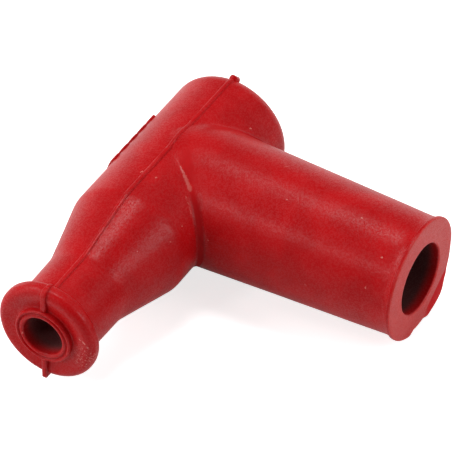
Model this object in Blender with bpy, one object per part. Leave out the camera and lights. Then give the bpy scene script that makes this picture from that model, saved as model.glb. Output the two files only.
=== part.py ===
# Right-angle spark plug cap in red silicone rubber, with the brass terminal it holds.
# All sizes are in metres. The two tube axes cross at the origin empty: the lead tube
# runs along X with its closed end at +X, the plug tube runs along -Y, and Z is up.

import math

import bmesh
import bpy
from mathutils import Vector

# Lead tube
LEAD_RADIUS = 0.00915  # straight barrel
END_LENGTH = 0.0159  # from the plug tube's axis to the closed end
END_ROUNDING = 0.0028
BARREL_LENGTH = 0.01425  # from the plug tube's axis to the start of the cone
CONE_LENGTH = 0.01075
CONE_END_RADIUS = 0.00632
NECK_LENGTH = 0.0085
NECK_RADIUS = 0.0062  # behind the flange
NECK_FILLET = 0.0006

# Flange and gland collar round the lead's bore
FLANGE_RADIUS = 0.0077
FLANGE_THICKNESS = 0.00242
FLANGE_BACK_ROUNDING = 0.0009
FLANGE_FRONT_ROUNDING = 0.0011
FLANGE_DISH = 0.00025  # how deep the front face is sunk next to the collar
COLLAR_RADIUS = 0.0044
COLLAR_HEIGHT = 0.0006  # proud of the flange's front
COLLAR_ROUNDING = 0.0002
LEAD_BORE_RADIUS = 0.00307  # grips a 7 mm ignition lead
LEAD_BORE_ROUNDING = 0.00035

# Plug tube
PLUG_LENGTH = 0.0389  # from the lead tube's axis to the mouth
PLUG_ROOT_RADIUS = 0.01017  # the taper's radius at the lead tube's axis
PLUG_MOUTH_RADIUS = 0.00877
CROWN_START = 0.0045  # inside this distance the tube rounds off into the lead tube
CROWN_RADIUS = 0.015
PLUG_TAIL = 0.003  # how far the tube is carried on past the lead tube's axis
LIP_RADIUS = 0.0092  # thin moulding lip round the mouth
LIP_THICKNESS = 0.0006
LIP_ROOT = 0.0003  # slope from the lip back to the tube
LIP_ROUNDING = 0.0001
PLUG_BORE_RADIUS = 0.0053  # grips the plug's insulator
PLUG_BORE_ROUNDING = 0.00035
CORNER_FILLET = 0.00148  # where the two tubes meet

# The lip was trimmed by hand: angle in degrees, seen from the mouth with 90 at the
# top, and how far the edge stands out past LIP_RADIUS there
LIP_EDGE = (
    (-108, 0.0),
    (-96, -0.0009),
    (-85, -0.0008),
    (-72, 0.00025),
    (-50, 0.00078),
    (-35, 0.0),
    (-25, -0.00042),
    (-8, -0.00045),
    (20, -0.00005),
    (35, 0.0),
)

# Parting line, grip bars, nub and fin
SEAM_WIDTH = 0.0005
SEAM_HEIGHT = 0.00025
RIB_WIDTH = 0.00077  # the parting line on the flange's front
RIB_HEIGHT = 0.0004
FIN_WIDTH = 0.0008  # left on the flange's lower edge
FIN_HEIGHT = 0.0005
FIN_DROP = 0.0002
NUB_WIDTH = 0.0012  # left on the closed end's upper edge
NUB_LENGTH = 0.0014
NUB_HEIGHT = 0.0006
NUB_ROUNDING = 0.0003
GRIP_COUNT = 5
GRIP_PITCH = 0.0024
GRIP_WIDTH = 0.0012
GRIP_HEIGHT = 0.00037
GRIP_SPREAD = 70  # degrees of the barrel's back that the bars wrap
GRIP_CENTRE = 0.0004  # middle of the bars, along X

# Terminal, its screw and its ring
CLEARANCE = 0.0003
SOCKET_RADIUS = 0.00325  # takes the plug's 6.35 mm terminal nut
SOCKET_DEPTH = 0.0095
TERMINAL_WALL = 0.00125
TERMINAL_TOP = 0.0029  # head's end, past the lead tube's axis
TERMINAL_HEAD = 0.0078  # solid head's length
TERMINAL_CHAMFER = 0.0005
SLOT_WIDTH = 0.0008
SLOT_DEPTH = 0.0062
RING_PLACE = 0.0024  # ring's distance from the socket's mouth
RING_WIRE = 0.0003  # wire's radius
RING_SEAT = 0.0002  # gap under the ring
RING_GROOVE_DEPTH = 0.00075
RING_GAP = 50  # degrees left open
SCREW_SHANK_RADIUS = 0.0015
SCREW_SHANK_DEPTH = 0.0065  # hidden in the terminal's head
SCREW_COLLAR_LENGTH = 0.0008
SCREW_COLLAR_GAP = 0.0008  # between the collar and the lead's bore
THREAD_LENGTH = 0.0114
THREAD_POINT = 0.0032  # pointed part of the thread
THREAD_RADIUS = 0.0016
THREAD_ROOT_RADIUS = 0.0011
THREAD_PITCH = 0.0012
THREAD_CREST = 0.625  # share of the pitch that the crest's foot takes
RETAINER_LENGTH = 0.0005  # rubber ring that holds the terminal in its pocket
RETAINER_GRIP = 0.0003
RETAINER_SLOPE = 0.0008

# Facets
TUBE_SEGMENTS = 64
PLUG_SEGMENTS = 72
BORE_SEGMENTS = 48
TERMINAL_SEGMENTS = 32
THREAD_SEGMENTS = 16
THREAD_STEPS = 4  # rings for each turn of the thread
SUNK = 0.00004  # how far added shapes reach into the wall that carries them

# Worked out from the sizes above
TERMINAL_RADIUS = SOCKET_RADIUS + TERMINAL_WALL
TERMINAL_MOUTH = TERMINAL_HEAD - TERMINAL_TOP + SOCKET_DEPTH
POCKET_RADIUS = TERMINAL_RADIUS + CLEARANCE
CONE_END = BARREL_LENGTH + CONE_LENGTH
FLANGE_BACK = CONE_END + NECK_LENGTH
FLANGE_FRONT = FLANGE_BACK + FLANGE_THICKNESS
COLLAR_FRONT = FLANGE_FRONT + COLLAR_HEIGHT

# How a piece turned about local Z is laid along each tube
ALONG_X = (0.0, math.radians(90), 0.0)
ALONG_PLUG = (math.radians(90), 0.0, 0.0)
UNTURNED = (0.0, 0.0, 0.0)


def clear_scene():
    for thing in list(bpy.data.objects):
        bpy.data.objects.remove(thing, do_unlink=True)


def make_material(name, colour, roughness, metallic):
    material = bpy.data.materials.new(name)
    material.use_nodes = True
    shader = material.node_tree.nodes["Principled BSDF"]
    shader.inputs["Base Color"].default_value = (*colour, 1.0)
    shader.inputs["Roughness"].default_value = roughness
    shader.inputs["Metallic"].default_value = metallic
    material.diffuse_color = (*colour, 1.0)
    return material


def arc(centre, radius, start, end, steps):
    """Points (along, radius) on an arc; the angles are in degrees."""
    points = []
    for step in range(steps + 1):
        angle = math.radians(start + (end - start) * step / steps)
        points.append((centre[0] + radius * math.cos(angle), centre[1] + radius * math.sin(angle)))
    return points


def place(name, mesh_builder, parent, rotation, material=None):
    """Turns a bmesh into a named object under the origin empty; without a material it is a guide."""
    bmesh.ops.recalc_face_normals(mesh_builder, faces=mesh_builder.faces)
    mesh = bpy.data.meshes.new(name)
    mesh_builder.to_mesh(mesh)
    mesh_builder.free()
    mesh.shade_smooth()
    mesh.set_sharp_from_angle(angle=math.radians(30))
    thing = bpy.data.objects.new(name, mesh)
    bpy.context.collection.objects.link(thing)
    thing.parent = parent
    thing.rotation_euler = rotation
    if material:
        mesh.materials.append(material)
    else:
        thing.hide_render = True
        thing.display_type = "WIRE"
    return thing


def combine(target, other, operation):
    modifier = target.modifiers.new(other.name, "BOOLEAN")
    modifier.solver = "EXACT"
    modifier.operation = operation
    modifier.object = other


def turned(outline, segments):
    """Closed solid turned about Z from (along, radius) points that start and end on the axis."""
    builder = bmesh.new()
    chain = [builder.verts.new((radius, 0.0, along)) for along, radius in outline]
    edges = [builder.edges.new(pair) for pair in zip(chain, chain[1:])]
    bmesh.ops.spin(
        builder,
        geom=chain + edges,
        cent=(0.0, 0.0, 0.0),
        axis=(0.0, 0.0, 1.0),
        angle=math.tau,
        steps=segments,
        use_merge=True,
    )
    bmesh.ops.remove_doubles(builder, verts=builder.verts, dist=1e-7)
    return builder


def extruded(builder, outline, width):
    """Plate of the given width, centred on the parting plane, from (x, z) points."""
    corners = [builder.verts.new((x, -width / 2, z)) for x, z in outline]
    side = builder.faces.new(corners)
    grown = bmesh.ops.extrude_face_region(builder, geom=[side])["geom"]
    moved = [item for item in grown if isinstance(item, bmesh.types.BMVert)]
    bmesh.ops.translate(builder, vec=(0.0, width, 0.0), verts=moved)


def lofted(builder, sections):
    """Closed solid through sections that all have the same number of points."""
    rings = [[builder.verts.new(point) for point in section] for section in sections]
    count = len(rings[0])
    for near, far in zip(rings, rings[1:]):
        for index in range(count):
            after = (index + 1) % count
            builder.faces.new((near[index], near[after], far[after], far[index]))
    builder.faces.new(rings[0])
    builder.faces.new(list(reversed(rings[-1])))


def lead_outline():
    """Half outline (x, radius) from the closed end's edge to the flange's dished front."""
    end_corner = (END_LENGTH - END_ROUNDING, LEAD_RADIUS - END_ROUNDING)
    fillet = (-FLANGE_BACK + NECK_FILLET, NECK_RADIUS + NECK_FILLET)
    back_edge = (-FLANGE_BACK - FLANGE_BACK_ROUNDING, FLANGE_RADIUS - FLANGE_BACK_ROUNDING)
    front_edge = (-FLANGE_FRONT + FLANGE_FRONT_ROUNDING, FLANGE_RADIUS - FLANGE_FRONT_ROUNDING)
    outline = arc(end_corner, END_ROUNDING, 0, 90, 6)
    outline.append((-BARREL_LENGTH, LEAD_RADIUS))
    outline.append((-CONE_END, CONE_END_RADIUS))
    outline += arc(fillet, NECK_FILLET, 270, 180, 3)
    outline += arc(back_edge, FLANGE_BACK_ROUNDING, 0, 90, 4)
    outline += arc(front_edge, FLANGE_FRONT_ROUNDING, 90, 180, 4)
    outline.append((-FLANGE_FRONT + FLANGE_DISH, (front_edge[1] + COLLAR_RADIUS) / 2))
    outline.append((-FLANGE_FRONT + FLANGE_DISH, COLLAR_RADIUS))
    return outline


def collar_outline():
    edge = (-COLLAR_FRONT + COLLAR_ROUNDING, COLLAR_RADIUS - COLLAR_ROUNDING)
    return arc(edge, COLLAR_ROUNDING, 90, 180, 2)


def plug_radius(distance):
    """Outer radius of the plug tube at a distance from the lead tube's axis."""
    taper = (PLUG_ROOT_RADIUS - PLUG_MOUTH_RADIUS) / PLUG_LENGTH
    rounding = max(0.0, CROWN_START - distance) ** 2 / (2 * CROWN_RADIUS)
    return PLUG_ROOT_RADIUS - taper * distance - rounding


def plug_outline():
    """Half outline (distance, radius) of the plug tube up to the lip's root."""
    crown_steps = 6
    outline = [(-PLUG_TAIL, 0.0)]
    for step in range(crown_steps + 1):
        distance = -PLUG_TAIL + (CROWN_START + PLUG_TAIL) * step / crown_steps
        outline.append((distance, plug_radius(distance)))
    root = PLUG_LENGTH - LIP_THICKNESS - LIP_ROOT
    outline.append((root, plug_radius(root)))
    return outline


def lip_reach(angle):
    """How far the lip's edge stands past LIP_RADIUS at an angle in degrees."""
    for (start, low), (end, high) in zip(LIP_EDGE, LIP_EDGE[1:]):
        if start <= angle <= end:
            share = (angle - start) / (end - start)
            return low + (high - low) * share * share * (3 - 2 * share)
    return 0.0


def trim_lip(builder):
    """Gives the lip its hand-trimmed edge; only its back stays outside the tube all round."""
    for vertex in builder.verts:
        radius = math.hypot(vertex.co.x, vertex.co.y)
        from_mouth = PLUG_LENGTH - vertex.co.z
        if from_mouth < LIP_THICKNESS + LIP_ROOT / 2 and radius > PLUG_BORE_RADIUS:
            wanted = radius + lip_reach(math.degrees(math.atan2(vertex.co.y, vertex.co.x)))
            if from_mouth > LIP_THICKNESS / 2:
                wanted = max(wanted, plug_radius(vertex.co.z))
            vertex.co.x *= wanted / radius
            vertex.co.y *= wanted / radius


def plug_tube():
    lip = [
        (PLUG_LENGTH - LIP_THICKNESS, LIP_RADIUS),
        (PLUG_LENGTH - LIP_ROUNDING, LIP_RADIUS),
        (PLUG_LENGTH, LIP_RADIUS - LIP_ROUNDING),
        (PLUG_LENGTH, 0.0),
    ]
    builder = turned(plug_outline() + lip, PLUG_SEGMENTS)
    trim_lip(builder)
    return builder


def corner_fillets():
    """Rolling-ball fillets between the two tubes, one on each side of the plug tube."""
    section_count = 22
    arc_count = 5
    inner_corner = 1.2  # place of each section's hidden corner, in fillet radii
    lead_track = LEAD_RADIUS + CORNER_FILLET
    sweep = math.asin(min(1.0, (plug_radius(0.0) + CORNER_FILLET) / lead_track))
    builder = bmesh.new()
    for side in (-1, 1):
        sections = []
        for step in range(section_count + 1):
            angle = sweep * (2 * step / section_count - 1)
            y, z = -lead_track * math.cos(angle), lead_track * math.sin(angle)
            plug_track = plug_radius(-y) + CORNER_FILLET
            x = side * math.sqrt(max(plug_track**2 - z**2, 0.0))
            centre = Vector((x, y, z))
            to_lead = Vector((0.0, -y, -z)).normalized()
            to_plug = Vector((-x, 0.0, -z)).normalized()
            section = []
            for part in range(arc_count + 1):
                direction = to_lead.slerp(to_plug, part / arc_count)
                sunk = SUNK if part in (0, arc_count) else 0.0
                section.append(centre + direction * (CORNER_FILLET + sunk))
            section.append(centre + (to_lead + to_plug) * CORNER_FILLET * inner_corner)
            sections.append(section)
        lofted(builder, sections)
    return builder


def pushed_out(outline, distance):
    """The outline moved outwards by a distance, corner by corner."""
    moved = []
    for index, point in enumerate(outline):
        before = Vector(outline[max(index - 1, 0)])
        after = Vector(outline[min(index + 1, len(outline) - 1)])
        along = (after - before).normalized()
        normal = Vector((along.y, -along.x))
        moved.append(tuple(Vector(point) + normal * distance))
    return moved


def seam_plate():
    """Parting-line ridge along the lead tube and over the plug tube's end, as a middle plate."""
    upper = pushed_out(lead_outline(), SEAM_HEIGHT)
    barrel = LEAD_RADIUS + SEAM_HEIGHT
    crown = plug_radius(0.0) + SEAM_HEIGHT
    if crown > barrel:
        foot = math.degrees(math.asin(barrel / crown))
        closed_side = [point for point in upper if point[0] > 0]
        lead_side = [point for point in upper if point[0] <= 0]
        upper = closed_side + arc((0.0, 0.0), crown, foot, 180 - foot, 8) + lead_side
    lower = [(x, -z) for x, z in reversed(upper)]
    builder = bmesh.new()
    extruded(builder, upper + lower, SEAM_WIDTH)
    return builder


def flange_marks():
    """Parting rib on the upper half of the flange's front, and the fin on the lower half."""
    inner = COLLAR_RADIUS - COLLAR_ROUNDING - SUNK
    middle = -FLANGE_FRONT + FLANGE_THICKNESS / 2
    rib_front = -FLANGE_FRONT - RIB_HEIGHT / 2
    rib_top = FLANGE_RADIUS + RIB_HEIGHT / 2
    edge = (rib_front + FLANGE_FRONT_ROUNDING, rib_top - FLANGE_FRONT_ROUNDING)
    rib = [(middle, inner), (middle, rib_top)]
    rib += arc(edge, FLANGE_FRONT_ROUNDING, 90, 180, 4)
    rib.append((rib_front, inner))
    fin_front = -FLANGE_FRONT - FIN_HEIGHT
    fin_low = -FLANGE_RADIUS - FIN_DROP
    fin = [
        (middle, -inner),
        (fin_front, -inner),
        (fin_front, fin_low + FIN_DROP),
        (fin_front + FIN_DROP, fin_low),
        (middle, fin_low),
    ]
    builder = bmesh.new()
    extruded(builder, rib, RIB_WIDTH)
    extruded(builder, fin, FIN_WIDTH)
    return builder


def end_nub():
    """Small nub that the mould left on the closed end's upper edge."""
    corner = Vector((END_LENGTH - END_ROUNDING, LEAD_RADIUS - END_ROUNDING))
    outward = Vector((math.cos(math.radians(45)), math.sin(math.radians(45))))
    across = Vector((-outward.y, outward.x))
    half = NUB_LENGTH / 2
    foot = END_ROUNDING - NUB_HEIGHT
    head = END_ROUNDING + NUB_HEIGHT
    shape = [(half, foot), (half, head - NUB_ROUNDING), (half - NUB_ROUNDING, head)]
    shape += [(-along, height) for along, height in reversed(shape)]
    builder = bmesh.new()
    extruded(builder, [corner + across * along + outward * height for along, height in shape], NUB_WIDTH)
    return builder


def grip_bars():
    """Raised bars across the back of the barrel, away from the plug tube."""
    steps = 8
    inner = LEAD_RADIUS - GRIP_HEIGHT
    outer = LEAD_RADIUS + GRIP_HEIGHT
    builder = bmesh.new()
    for index in range(GRIP_COUNT):
        middle = GRIP_CENTRE + (index - (GRIP_COUNT - 1) / 2) * GRIP_PITCH
        near, far = middle - GRIP_WIDTH / 2, middle + GRIP_WIDTH / 2
        sections = []
        for step in range(steps + 1):
            angle = math.radians(GRIP_SPREAD * (step / steps - 0.5))
            y, z = math.cos(angle), math.sin(angle)
            sections.append(
                [
                    (near, y * inner, z * inner),
                    (far, y * inner, z * inner),
                    (far, y * outer, z * outer),
                    (near, y * outer, z * outer),
                ]
            )
        lofted(builder, sections)
    return builder


def plug_cutter():
    """Terminal pocket, retaining ring and plug bore in one outline, as (distance, radius)."""
    pocket_end = TERMINAL_MOUTH + CLEARANCE
    grip = TERMINAL_RADIUS - RETAINER_GRIP
    bore_start = pocket_end + CLEARANCE + RETAINER_LENGTH + RETAINER_SLOPE
    edge = (PLUG_LENGTH - PLUG_BORE_ROUNDING, PLUG_BORE_RADIUS + PLUG_BORE_ROUNDING)
    outline = [
        (-TERMINAL_TOP - CLEARANCE, 0.0),
        (-TERMINAL_TOP - CLEARANCE, POCKET_RADIUS),
        (pocket_end, POCKET_RADIUS),
        (pocket_end + CLEARANCE, grip),
        (pocket_end + CLEARANCE + RETAINER_LENGTH, grip),
        (bore_start, PLUG_BORE_RADIUS),
    ]
    outline += arc(edge, PLUG_BORE_ROUNDING, 270, 360, 3)
    past = PLUG_LENGTH + PLUG_BORE_ROUNDING
    outline += [(past, edge[1]), (past, 0.0)]
    return turned(outline, BORE_SEGMENTS)


def lead_cutter():
    """The lead's bore, from the pocket out through the collar."""
    edge = (-COLLAR_FRONT + LEAD_BORE_ROUNDING, LEAD_BORE_RADIUS + LEAD_BORE_ROUNDING)
    start = -SOCKET_RADIUS
    outline = [(start, 0.0), (start, LEAD_BORE_RADIUS)]
    outline += arc(edge, LEAD_BORE_ROUNDING, 270, 180, 3)
    past = -COLLAR_FRONT - LEAD_BORE_ROUNDING
    outline += [(past, edge[1]), (past, 0.0)]
    return turned(outline, BORE_SEGMENTS)


def make_boot(parent, rubber):
    closed_end = [(END_LENGTH, 0.0)]
    front = [(-COLLAR_FRONT, 0.0)]
    outline = closed_end + lead_outline() + collar_outline() + front
    boot = place("boot", turned(outline, TUBE_SEGMENTS), parent, ALONG_X, rubber)
    added = (
        place("plug_tube_shape", plug_tube(), parent, ALONG_PLUG),
        place("corner_fillet_shape", corner_fillets(), parent, UNTURNED),
        place("seam_shape", seam_plate(), parent, UNTURNED),
        place("flange_mark_shape", flange_marks(), parent, UNTURNED),
        place("end_nub_shape", end_nub(), parent, UNTURNED),
        place("grip_bar_shape", grip_bars(), parent, UNTURNED),
    )
    for shape in added:
        combine(boot, shape, "UNION")
    for cutter in (
        place("plug_bore_cutter", plug_cutter(), parent, ALONG_PLUG),
        place("lead_bore_cutter", lead_cutter(), parent, ALONG_X),
    ):
        combine(boot, cutter, "DIFFERENCE")


def make_terminal(parent, brass):
    """Brass head with a slotted socket, turned about the plug tube's axis."""
    ring = TERMINAL_MOUTH - RING_PLACE
    groove_half = RING_WIRE + CLEARANCE
    groove_floor = TERMINAL_RADIUS - RING_GROOVE_DEPTH
    socket_floor = TERMINAL_MOUTH - SOCKET_DEPTH
    chamfer = TERMINAL_CHAMFER
    outline = [
        (-TERMINAL_TOP, 0.0),
        (-TERMINAL_TOP, TERMINAL_RADIUS - chamfer),
        (-TERMINAL_TOP + chamfer, TERMINAL_RADIUS),
        (ring - groove_half, TERMINAL_RADIUS),
        (ring - groove_half, groove_floor),
        (ring + groove_half, groove_floor),
        (ring + groove_half, TERMINAL_RADIUS),
        (TERMINAL_MOUTH - chamfer, TERMINAL_RADIUS),
        (TERMINAL_MOUTH, TERMINAL_RADIUS - chamfer),
        (TERMINAL_MOUTH, SOCKET_RADIUS + chamfer / 2),
        (TERMINAL_MOUTH - chamfer / 2, SOCKET_RADIUS),
        (socket_floor, SOCKET_RADIUS),
        (socket_floor - SOCKET_RADIUS / 4, 0.0),
    ]
    terminal = place("terminal_body", turned(outline, TERMINAL_SEGMENTS), parent, ALONG_PLUG, brass)
    hole_floor = SCREW_SHANK_DEPTH - TERMINAL_RADIUS + CLEARANCE
    hole_radius = SCREW_SHANK_RADIUS + CLEARANCE
    past = -TERMINAL_RADIUS - CLEARANCE
    hole = [(hole_floor, 0.0), (hole_floor, hole_radius), (past, hole_radius), (past, 0.0)]
    hole_cutter = place("screw_hole_cutter", turned(hole, TERMINAL_SEGMENTS), parent, ALONG_X)
    combine(terminal, hole_cutter, "DIFFERENCE")
    for name, size in (
        ("slot_cutter_a", (2 * POCKET_RADIUS, SLOT_WIDTH)),
        ("slot_cutter_b", (SLOT_WIDTH, 2 * POCKET_RADIUS)),
    ):
        builder = bmesh.new()
        bmesh.ops.create_cube(builder, size=1.0)
        length = SLOT_DEPTH + CLEARANCE
        bmesh.ops.scale(builder, vec=(size[0], length, size[1]), verts=builder.verts)
        middle = -TERMINAL_MOUTH + SLOT_DEPTH - length / 2
        bmesh.ops.translate(builder, vec=(0.0, middle, 0.0), verts=builder.verts)
        combine(terminal, place(name, builder, parent, UNTURNED), "DIFFERENCE")


def thread_radius(distance, angle):
    """Radius of the thread at a distance from its start, shrinking to the point."""
    turn = (distance / THREAD_PITCH - angle / math.tau) % 1.0
    crest = max(0.0, 1.0 - abs(turn - 0.5) * 2 / THREAD_CREST)
    radius = THREAD_ROOT_RADIUS + (THREAD_RADIUS - THREAD_ROOT_RADIUS) * crest
    return radius * min(1.0, (THREAD_LENGTH - distance) / THREAD_POINT)


def make_lead_screw(parent, steel):
    """Shank and collar in the terminal's head, then a wood-screw thread down the lead's bore."""
    shank_end = SCREW_SHANK_DEPTH - TERMINAL_RADIUS
    collar_back = -TERMINAL_RADIUS - CLEARANCE
    collar_radius = LEAD_BORE_RADIUS - SCREW_COLLAR_GAP
    start = collar_back - SCREW_COLLAR_LENGTH
    ring_count = round(THREAD_LENGTH / THREAD_PITCH * THREAD_STEPS)
    plain = [
        (shank_end, SCREW_SHANK_RADIUS),
        (collar_back, SCREW_SHANK_RADIUS),
        (collar_back, collar_radius),
        (start, collar_radius),
    ]
    angles = [math.tau * index / THREAD_SEGMENTS for index in range(THREAD_SEGMENTS)]
    sections = []
    for x, radius in plain:
        sections.append([(x, radius * math.cos(angle), radius * math.sin(angle)) for angle in angles])
    for ring in range(ring_count):
        distance = THREAD_LENGTH * ring / ring_count
        section = []
        for angle in angles:
            radius = thread_radius(distance, angle)
            section.append((start - distance, radius * math.cos(angle), radius * math.sin(angle)))
        sections.append(section)
    builder = bmesh.new()
    lofted(builder, sections)
    place("lead_screw", builder, parent, UNTURNED, steel)


def make_snap_ring(parent, steel):
    """Open ring of round wire in the terminal's groove, with its gap at the top."""
    steps = 30
    sides = 8
    track = TERMINAL_RADIUS - RING_GROOVE_DEPTH + RING_SEAT + RING_WIRE
    y = -TERMINAL_MOUTH + RING_PLACE
    sections = []
    for step in range(steps + 1):
        around = math.radians(90 + RING_GAP / 2 + (360 - RING_GAP) * step / steps)
        section = []
        for side in range(sides):
            angle = math.tau * side / sides
            radius = track + RING_WIRE * math.cos(angle)
            height = RING_WIRE * math.sin(angle)
            section.append((radius * math.cos(around), y + height, radius * math.sin(around)))
        sections.append(section)
    builder = bmesh.new()
    lofted(builder, sections)
    place("snap_ring", builder, parent, UNTURNED, steel)


def make_origin():
    """Empty where the tube axes cross; its place puts the world origin under the cap's middle."""
    x_low = -FLANGE_FRONT - max(FIN_HEIGHT, COLLAR_HEIGHT)
    x_high = END_LENGTH + SEAM_HEIGHT
    y_low = -PLUG_LENGTH
    y_high = LEAD_RADIUS + GRIP_HEIGHT
    z_low = -max(radius for _, radius in plug_outline())
    origin = bpy.data.objects.new("axis_crossing", None)
    bpy.context.collection.objects.link(origin)
    origin.location = (-(x_low + x_high) / 2, -(y_low + y_high) / 2, -z_low)
    return origin


def main():
    clear_scene()
    rubber = make_material("red_silicone", (0.42, 0.021, 0.023), 0.48, 0.0)
    brass = make_material("brass", (0.72, 0.50, 0.20), 0.32, 1.0)
    steel = make_material("plated_steel", (0.62, 0.62, 0.60), 0.30, 1.0)
    origin = make_origin()
    make_boot(origin, rubber)
    make_terminal(origin, brass)
    make_lead_screw(origin, steel)
    make_snap_ring(origin, steel)


main()
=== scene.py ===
import math

import bmesh
import bpy
from mathutils import Matrix, Vector, noise


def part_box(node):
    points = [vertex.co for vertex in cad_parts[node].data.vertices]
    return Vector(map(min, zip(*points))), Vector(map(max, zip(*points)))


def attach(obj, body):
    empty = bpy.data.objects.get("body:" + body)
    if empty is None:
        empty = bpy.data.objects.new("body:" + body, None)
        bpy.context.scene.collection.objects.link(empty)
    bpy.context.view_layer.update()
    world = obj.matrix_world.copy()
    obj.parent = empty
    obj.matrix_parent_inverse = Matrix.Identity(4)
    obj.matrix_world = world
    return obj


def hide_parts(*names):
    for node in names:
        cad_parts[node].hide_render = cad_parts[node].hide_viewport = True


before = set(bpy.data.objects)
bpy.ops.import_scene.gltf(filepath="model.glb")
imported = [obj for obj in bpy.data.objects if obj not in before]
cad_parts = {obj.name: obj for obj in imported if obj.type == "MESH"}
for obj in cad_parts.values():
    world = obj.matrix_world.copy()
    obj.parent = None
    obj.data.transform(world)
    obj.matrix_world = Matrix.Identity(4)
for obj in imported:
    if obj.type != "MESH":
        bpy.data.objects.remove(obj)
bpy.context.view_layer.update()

# Right-angle spark plug cap in red silicone rubber, with its brass terminal inside.
# Metres throughout: the lead tube lies along X, the plug tube along -Y, and Z is up.
bootLow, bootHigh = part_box("boot")
terminalLow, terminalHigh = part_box("terminal_body")
screwLow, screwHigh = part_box("lead_screw")

# the two tube axes cross here
crossing = Vector((
    (terminalLow.x + terminalHigh.x) / 2,
    (screwLow.y + screwHigh.y) / 2,
    (screwLow.z + screwHigh.z) / 2,
))
toLead = Matrix.Rotation(math.radians(90), 4, "Y")  # local Z to +X
toPlug = Matrix.Rotation(math.radians(90), 4, "X")  # local Z to -Y
asIs = Matrix.Identity(4)
mergeDistance = 0.0000001


def arcPoints(along, radius, size, start, end, steps):
    points = []
    for step in range(steps + 1):
        angle = math.radians(start + (end - start) * step / steps)
        points.append((along + size * math.cos(angle), radius + size * math.sin(angle)))
    return points


def closeSpaced(outline, longest):
    dense = [outline[0]]
    for here, there in zip(outline, outline[1:]):
        pieces = max(1, math.ceil(math.dist(here, there) / longest))
        for part in range(1, pieces + 1):
            share = part / pieces
            along = here[0] + (there[0] - here[0]) * share
            dense.append((along, here[1] + (there[1] - here[1]) * share))
    return dense


def spinOutline(outline, facets):
    bm = bmesh.new()
    chain = [bm.verts.new((radius, 0, along)) for along, radius in outline]
    edges = [bm.edges.new(pair) for pair in zip(chain, chain[1:])]
    bmesh.ops.spin(
        bm, geom=chain + edges, cent=(0, 0, 0), axis=(0, 0, 1), angle=math.tau, steps=facets,
        use_merge=True,
    )
    bmesh.ops.remove_doubles(bm, verts=bm.verts, dist=mergeDistance)
    return bm


def extrudeThrough(bm, sections):
    # one face pulled from section to section, which leaves a closed solid
    face = bm.faces.new([bm.verts.new(point) for point in sections[0]])
    for number, section in enumerate(sections[1:]):
        grown = bmesh.ops.extrude_face_region(bm, geom=[face])["geom"]
        if number:
            bmesh.ops.delete(bm, geom=[face], context="FACES_ONLY")
        face = next(item for item in grown if isinstance(item, bmesh.types.BMFace))
        for vert, point in zip(face.verts, section):
            vert.co = point


def plate(bm, outline, width):
    sections = [[(x, side * width / 2, z) for x, z in outline] for side in (-1, 1)]
    extrudeThrough(bm, sections)


def roundEdges(bm, size, segments, angle=40):
    sharp = [edge for edge in bm.edges if edge.calc_face_angle(0) > math.radians(angle)]
    bmesh.ops.bevel(
        bm, geom=sharp, offset=size, segments=segments, profile=0.5, affect="EDGES", material=-1,
        clamp_overlap=True,
    )


def addObject(name, data):
    thing = bpy.data.objects.new(name, data)
    bpy.context.collection.objects.link(thing)
    return thing


def makeSolid(name, bm, turn=asIs):
    bmesh.ops.transform(bm, matrix=Matrix.Translation(crossing) @ turn, verts=bm.verts)
    bmesh.ops.recalc_face_normals(bm, faces=bm.faces)
    mesh = bpy.data.meshes.new(name)
    bm.to_mesh(mesh)
    bm.free()
    return addObject(name, mesh)


def joinSolids(target, others, operation):
    for other in others:
        modifier = target.modifiers.new(other.name, "BOOLEAN")
        modifier.solver = "EXACT"
        modifier.operation = operation
        modifier.object = other
    graph = bpy.context.evaluated_depsgraph_get()
    mesh = bpy.data.meshes.new_from_object(target.evaluated_get(graph))
    target.modifiers.clear()
    target.data = mesh
    for other in others:
        bpy.data.objects.remove(other, do_unlink=True)


def finishPiece(piece, sharpness):
    piece.data.shade_smooth()
    piece.data.set_sharp_from_angle(angle=math.radians(sharpness))
    return piece


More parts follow.
